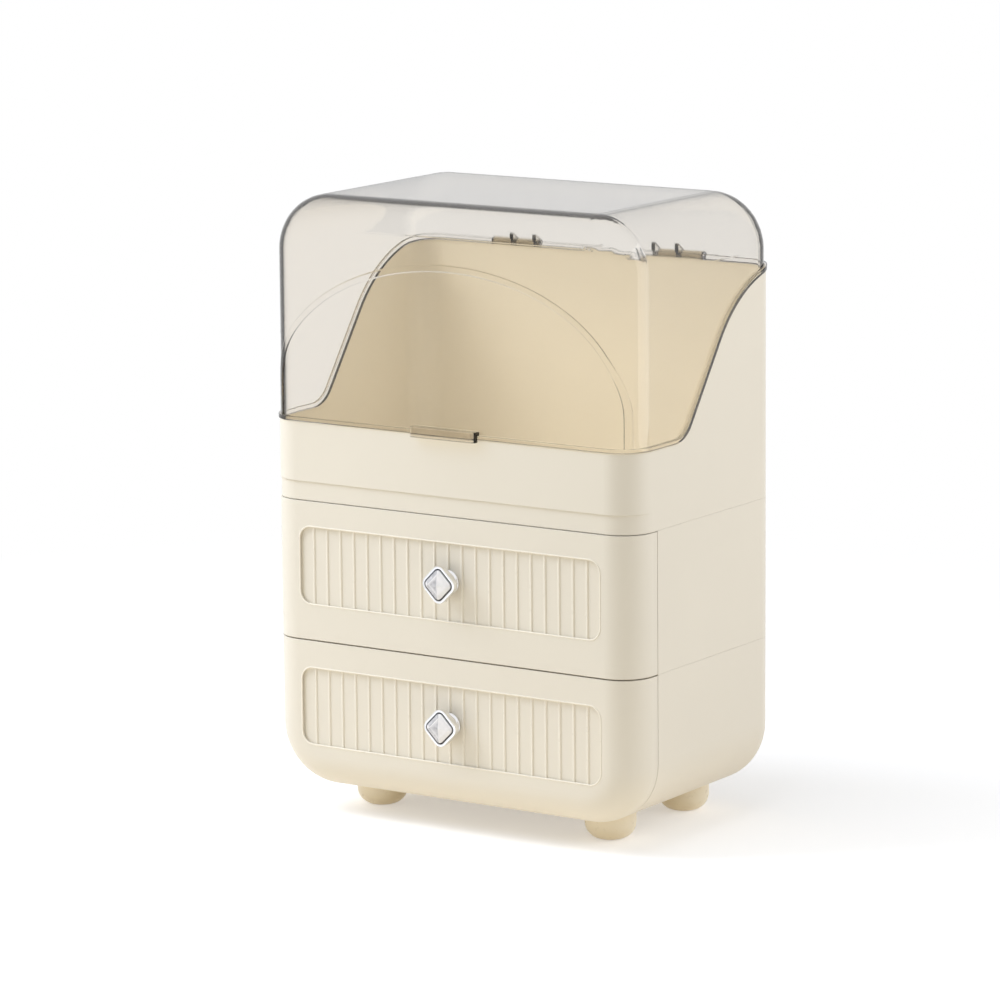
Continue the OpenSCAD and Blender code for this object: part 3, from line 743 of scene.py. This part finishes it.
class ORGANIZER_OT_hood(bpy.types.Operator):
    """Gives the hinged hood its clear plastic"""

    bl_idname = "organizer.hood"
    bl_label = "Clear hood"

    def execute(self, context):
        c = settings().finish
        dress(NODES["clear_hood"], material("Clear plastic", clear_plastic, c.hood, c.hood_edge_painted_shade,
                                            c.hood_smoke, c.hood_density, c.hood_shade))
        return {"FINISHED"}


class ORGANIZER_OT_panel_ribs(bpy.types.Operator):
    """Lays a round bead in each groove of the two fluted panels, broken off round the base of the knob, and a
    lip round each panel, both coloured paler than the shell as a painted highlight
    """

    bl_idname = "organizer.panel_ribs"
    bl_label = "Panel ribs"

    def execute(self, context):
        p, k = settings().panel, settings().knob
        # The ribs and the lip take a paler copy of the shell colour: a painted highlight
        painted_highlight_plastic = material("Rib plastic", moulded, shade(settings().finish.shell, p.pale), *RIB_FINISH)
        half = p.height / 2 + RIB_OVERLAP
        clear = k.stem + KNOB_CLEARANCE
        whole = lathe("whole_rib", [(p.bead, -half), (p.bead, half)], RIB_STEPS)
        short = lathe("short_rib", [(p.bead, clear), (p.bead, half)], RIB_STEPS)
        pitch = p.width / p.strips
        for which in DRAWERS:
            lo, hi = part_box(which + "_knob_rim")
            face, zc = lo.y + k.out, (lo.z + hi.z) / 2
            beads = []
            for i in range(1, p.strips):
                x = i * pitch - p.width / 2
                at = Matrix.Translation((x, face + p.deep + RIB_SUNK, zc))
                if abs(x) < clear:
                    for turn in (0, math.pi):
                        beads.append(copy_of(short, "bead", at @ Matrix.Rotation(turn, 4, "X")))
                else:
                    beads.append(copy_of(whole, "bead", at))
            piece = joined(beads, which + "_panel_ribs")
            smooth(piece, angle=40)
            lip = rounded_frame(which + "_panel_lip", p.width, p.height, p.corner, p.lip)
            place(lip, Matrix.Translation((0, face + LIP_SUNK, zc)))
            smooth(lip, angle=60)
            for ob in (piece, lip):
                dress(ob, painted_highlight_plastic)
                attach(ob, which + "_drawer")
        drop(whole)
        drop(short)
        return {"FINISHED"}


class ORGANIZER_OT_knob_rims(bpy.types.Operator):
    """Models the plated knob: a rounded diamond rim on a turned stem and base"""

    bl_idname = "organizer.knob_rims"
    bl_label = "Knob rims"

    def execute(self, context):
        k = settings().knob
        plating = material("Knob plating", plated, settings().finish.chrome)
        back = k.out - k.thick
        head = diamond("rim_head", k.across, k.corner, back)
        push((0, 0, k.thick))
        bpy.ops.mesh.inset(thickness=k.lip)
        bpy.ops.mesh.inset(thickness=k.groove, depth=-GROOVE_DEPTH)
        push((0, 0, GROOVE_DEPTH - k.seat))
        face_outward()
        dress(head, plating)
        # The sloped faces of the groove get the dark groove colour: a painted dark reflection
        head.data.materials.append(material("Knob groove", plated, settings().finish.groove))
        low, high = k.out - GROOVE_DEPTH + GROOVE_MARGIN, k.out - GROOVE_MARGIN
        pick_faces(head, lambda middle, normal: low < middle.z < high and normal.z > 0.2)
        head.active_material_index = 1
        bpy.ops.object.material_slot_assign()
        bpy.ops.object.mode_set(mode="OBJECT")
        soften(head, 0.4 * MM, segments=3, angle=35)
        foot = [(k.stem + out * MM, up * MM - STEM_DEPTH) for out, up in STEM_FOOT]
        neck = [(k.stem + out * MM, back + up * MM) for out, up in STEM_NECK]
        stem = lathe("rim_stem", foot + neck, 64)
        dress(stem, plating)
        smooth(stem, angle=50)
        model = joined([head, stem], "knob_model")
        smooth(model, angle=38)
        for which in DRAWERS:
            piece = copy_of(model, which + "_knob_plating", on_drawer(which))
            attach(piece, which + "_drawer")
            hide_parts(which + "_knob_rim")
        drop(model)
        return {"FINISHED"}


class ORGANIZER_OT_knob_stones(bpy.types.Operator):
    """Cuts the stone: a girdle, a sloped border and a low four-sided crown"""

    bl_idname = "organizer.knob_stones"
    bl_label = "Knob stones"

    def execute(self, context):
        k = settings().knob
        pearl = material("Knob stone", cut_stone, settings().finish.stone, settings().finish.facet_painted_reflection)
        inset = k.lip + k.groove
        model = diamond("stone_model", k.across - 2 * inset, k.corner - inset, k.out - k.seat)
        push((0, 0, k.seat + STONE_GIRDLE))
        bpy.ops.mesh.inset(thickness=STONE_BORDER)
        bpy.ops.transform.translate(value=(0, 0, STONE_SLOPE))
        bpy.ops.mesh.inset(thickness=STONE_STEP)
        bpy.ops.mesh.poke(offset=k.rise - STONE_GIRDLE - STONE_SLOPE)
        face_outward()
        soften(model, 0.12 * MM, segments=2, angle=12)
        smooth(model, angle=14)
        dress(model, pearl)
        for which in DRAWERS:
            piece = copy_of(model, which + "_knob_cut_stone", on_drawer(which))
            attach(piece, which + "_drawer")
            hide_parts(which + "_knob_stone")
        drop(model)
        return {"FINISHED"}


class ORGANIZER_OT_screws(bpy.types.Operator):
    """Models the screws with cross recesses and threads, and sets one copy at each CAD screw"""

    bl_idname = "organizer.screws"
    bl_label = "Screws"

    def execute(self, context):
        s = settings().screw
        down, forward = Matrix.Identity(4), turned(x=-math.pi / 2)
        first_spin, next_spin = SCREW_SPIN
        for node, body, turn, count in (
                ("foot_screws", "housing", down, 4), ("upper_casing_screws", "housing", down, 4),
                ("tray_screws", "housing", down, 4),
                ("lower_drawer_screws", "lower_drawer", forward, 2),
                ("upper_drawer_screws", "upper_drawer", forward, 2)):
            lo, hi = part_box(node)
            length = (hi.z - lo.z if turn is down else hi.y - lo.y) - s.rise
            model = screw_model(s.head, s.rise, s.shank, length, s.pitch)
            xs = (lo.x + s.head, hi.x - s.head)
            if turn is down:
                places = [(x, y, hi.z - s.rise) for x in xs for y in (lo.y + s.head, hi.y - s.head)]
            else:
                places = [(x, hi.y - s.rise, (lo.z + hi.z) / 2) for x in xs]
            if len(places) != count:
                raise RuntimeError(f"{node}: {len(places)} screws placed, not {count}")
            spins = [Matrix.Rotation(first_spin + next_spin * i, 4, "Z") for i in range(count)]
            copies = [copy_of(model, "screw_copy", Matrix.Translation(p) @ turn @ spin)
                      for p, spin in zip(places, spins)]
            drop(model)
            piece = joined(copies, node.replace("screws", "cross_screws"))
            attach(piece, body)
            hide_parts(node)
        for which in DRAWERS:
            node = which + "_knob_screw"
            lo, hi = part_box(node)
            length = hi.y - lo.y - KNOB_SCREW_RISE
            model = screw_model((hi.x - lo.x) / 2, KNOB_SCREW_RISE, KNOB_SCREW_SHANK, length, KNOB_SCREW_PITCH)
            at = Matrix.Translation((0, hi.y - KNOB_SCREW_RISE, (lo.z + hi.z) / 2))
            spin = Matrix.Rotation(KNOB_SCREW_SPIN, 4, "Z")
            piece = copy_of(model, which + "_knob_machine_screw", at @ forward @ spin)
            drop(model)
            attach(piece, which + "_drawer")
            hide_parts(node)
        return {"FINISHED"}


class ORGANIZER_OT_hinge_pins(bpy.types.Operator):
    """Turns the two hinge pins, each with a domed head and a tapered tip"""

    bl_idname = "organizer.hinge_pins"
    bl_label = "Hinge pins"

    def execute(self, context):
        for side, name in ((-1, "left"), (1, "right")):
            node = "hinge_pin_" + name
            lo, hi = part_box(node)
            length = hi.x - lo.x - PIN_RISE
            taper, tip = PIN_TIP
            shank = [(PIN_RADIUS * taper, -length), (PIN_RADIUS, -length + tip), (PIN_RADIUS, -0.01 * MM)]
            rings = shank + head_rings(PIN_HEAD, (hi.z - lo.z) / 2, PIN_RISE)
            pin = lathe("hinge_pin_" + name + "_turned", rings, 32)
            x = hi.x - PIN_RISE if side > 0 else lo.x + PIN_RISE
            at = Matrix.Translation((x, (lo.y + hi.y) / 2, (lo.z + hi.z) / 2))
            place(pin, at @ turned(y=side * math.pi / 2))
            smooth(pin, angle=45)
            dress(pin, steel_material())
            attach(pin, "hood")
            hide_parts(node)
        return {"FINISHED"}


def softbox(name, power, at, size, target, colour, reflected):
    """Area lamp that isn't seen, also not bent by the hood. A reflected one shows in glossy pieces."""
    deselect()
    bpy.ops.object.light_add(type="AREA", location=at)
    lamp = bpy.context.view_layer.objects.active
    lamp.name = name
    lamp.data.shape, lamp.data.size, lamp.data.size_y = "RECTANGLE", *size
    lamp.data.energy, lamp.data.color = power, colour
    lamp.visible_camera = False
    lamp.visible_transmission = False
    lamp.visible_glossy = reflected
    lamp.rotation_euler = (Vector(target) - Vector(at)).to_track_quat("-Z", "Y").to_euler()


class ORGANIZER_OT_stage(bpy.types.Operator):
    """Sets the floor, the room, the softboxes and the camera"""

    bl_idname = "organizer.stage"
    bl_label = "Studio"

    def execute(self, context):
        s = settings().studio
        deselect()
        bpy.ops.mesh.primitive_plane_add(size=FLOOR_SIZE, location=(0, 0, 0))
        floor = named("studio_floor")
        edit_all("FACE")
        bpy.ops.mesh.subdivide(number_cuts=3)
        deselect()
        dress(floor, material("Studio paper", stage_material, s.paper, s.glow))

        world = bpy.data.worlds.new("Studio room")
        world.use_nodes = True
        context.scene.world = world
        t = world.node_tree
        room = next(n for n in t.nodes if n.type == "BACKGROUND")
        room.inputs["Color"].default_value, room.inputs["Strength"].default_value = (*WHITE, 1), s.air
        seen, astray = ray_kinds(t)
        path = t.nodes.new("ShaderNodeLightPath").outputs
        inside = math_node(t, "MULTIPLY", path["Is Transmission Ray"], path["Diffuse Depth"])
        sky = mixed(t, inside, room.outputs[0], glow(t, "ShaderNodeBackground", FILL_COLOUR, s.fill))
        sky = mixed(t, seen, sky, glow(t, "ShaderNodeBackground", WHITE, 1.0))
        sky = mixed(t, astray, sky, glow(t, "ShaderNodeBackground", ASTRAY_COLOUR, ASTRAY))
        t.links.new(sky, next(n for n in t.nodes if n.type == "OUTPUT_WORLD").inputs["Surface"])

        for name, power, *values in SOFTBOXES:
            softbox("softbox_" + name, getattr(s, power), *values)

        deselect()
        bpy.ops.object.camera_add(location=s.camera_at)
        camera = bpy.context.view_layer.objects.active
        camera.name = "photo_camera"
        look = (Vector(s.camera_to) - Vector(s.camera_at)).to_track_quat("-Z", "Y")
        camera.rotation_euler = (look.to_matrix() @ Matrix.Rotation(s.roll, 3, "Z")).to_euler()
        camera.data.lens, camera.data.sensor_width = s.lens, SENSOR_MM
        camera.data.shift_x, camera.data.shift_y = s.shift_x, s.shift_y
        camera.data.clip_start, camera.data.clip_end = 0.1, 100
        context.scene.camera = camera
        context.scene.view_settings.view_transform = "Standard"
        return {"FINISHED"}


class ORGANIZER_PT_panel(bpy.types.Panel):
    """Lists the steps that finish the organizer, with their settings"""

    bl_label = "Organizer"
    bl_idname = "ORGANIZER_PT_panel"
    bl_space_type = "VIEW_3D"
    bl_region_type = "UI"
    bl_category = "Organizer"

    def draw(self, context):
        layout = self.layout
        for step in STEPS:
            layout.operator(step.bl_idname)
        for group in ("finish", "panel", "knob", "screw", "studio"):
            values = getattr(context.scene.organizer, group)
            box = layout.box()
            for key in values.__annotations__:
                box.prop(values, key)


STEPS = (ORGANIZER_OT_shells, ORGANIZER_OT_hood, ORGANIZER_OT_panel_ribs, ORGANIZER_OT_knob_rims,
         ORGANIZER_OT_knob_stones, ORGANIZER_OT_screws, ORGANIZER_OT_hinge_pins, ORGANIZER_OT_stage)
GROUPS = (OrganizerFinish, OrganizerPanel, OrganizerKnob, OrganizerScrew, OrganizerStudio, OrganizerSettings)


def register():
    for c in GROUPS + STEPS + (ORGANIZER_PT_panel,):
        bpy.utils.register_class(c)
    bpy.types.Scene.organizer = PointerProperty(type=OrganizerSettings)


def unregister():
    del bpy.types.Scene.organizer
    for c in reversed(GROUPS + STEPS + (ORGANIZER_PT_panel,)):
        bpy.utils.unregister_class(c)


def main():
    register()
    for step in STEPS:
        group, name = step.bl_idname.split(".")
        getattr(getattr(bpy.ops, group), name)()
    deselect()


if __name__ == "__main__":
    main()
